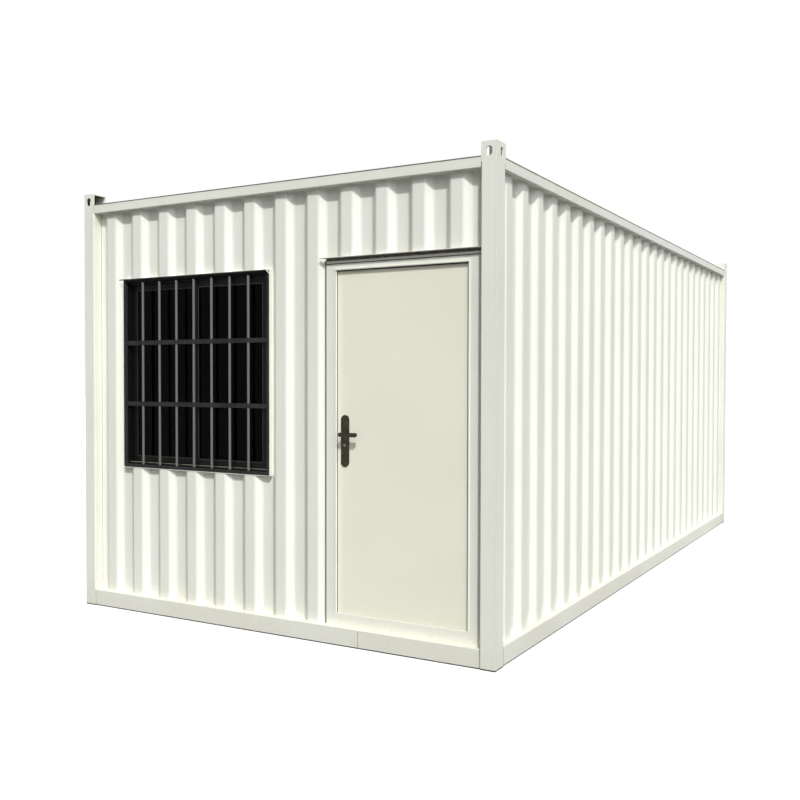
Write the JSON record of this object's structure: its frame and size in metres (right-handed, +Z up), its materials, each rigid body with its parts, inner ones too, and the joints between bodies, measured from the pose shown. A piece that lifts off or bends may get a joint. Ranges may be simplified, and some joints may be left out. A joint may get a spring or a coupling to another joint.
{
  "type": "container house",
  "caption": "White one-room container house of folded steel sheet, with corner fittings, a barred window and a steel door that opens inward.",
  "frame": {"origin": "on the ground, under the middle of the house", "axes": "+Z up, +Y from the door end to the back, +X to the right as the door end is faced"},
  "size_m": [3, 6, 2.74],
  "materials": {
    "white_paint": "satin",
    "floor_primer": "matte",
    "floor_wood": "satin",
    "board_white": "matte",
    "window_alloy": "satin",
    "window_glass": "gloss",
    "grille_paint": "satin",
    "door_paint": "satin",
    "dark_bronze": "satin",
    "key_steel": "brushed"
  },
  "bodies": {
    "house": {"post_front_right": "white_paint", "post_front_left": "white_paint", "post_back_right": "white_paint", "post_back_left": "white_paint", "corner_fitting_front_right": "white_paint", "corner_fitting_front_left": "white_paint", "corner_fitting_back_right": "white_paint", "corner_fitting_back_left": "white_paint", "bottom_rail_front": "white_paint", "bottom_rail_back": "white_paint", "bottom_rail_right": "white_paint", "bottom_rail_left": "white_paint", "top_rail_front": "white_paint", "top_rail_back": "white_paint", "top_rail_right": "white_paint", "top_rail_left": "white_paint", "roof_sheet": "white_paint", "right_wall": "white_paint", "left_wall": "white_paint", "back_wall": "white_paint", "front_wall_left": "white_paint", "front_wall_under_window": "white_paint", "front_wall_over_window": "white_paint", "front_wall_between": "white_paint", "front_wall_over_door": "white_paint", "window_surround": "white_paint", "door_jamb_left": "white_paint", "door_jamb_right": "white_paint", "door_head": "white_paint", "door_sill": "white_paint", "door_flashing": "white_paint", "floor_joists": "floor_primer", "floor_deck": "floor_wood", "wall_lining": "board_white", "ceiling": "board_white", "window_frame": "window_alloy", "window_sashes": "window_alloy", "window_glass": "window_glass", "window_grille": "grille_paint", "hinge_frame_leaves": "key_steel"},
    "door": {"door_leaf": "door_paint", "lock_plates": "dark_bronze", "key_cylinder": "key_steel", "hinge_door_leaves": "key_steel"},
    "lever": {"lever_handles": "dark_bronze"}
  },
  "joints": [
    {"name": "door_hinge", "type": "hinge", "parent": "house", "child": "door", "pos_m": [1.333, -2.882, 1.15], "axis": [0, 0, -1], "range_deg": [0, 90]},
    {"name": "lever_turn", "type": "hinge", "parent": "door", "child": "lever", "pos_m": [0.537, -2.9135, 1.2], "axis": [0, 1, 0], "range_deg": [0, 40], "stiffness_Nm_per_rad": 2, "springref_deg": -34.38}
  ]
}
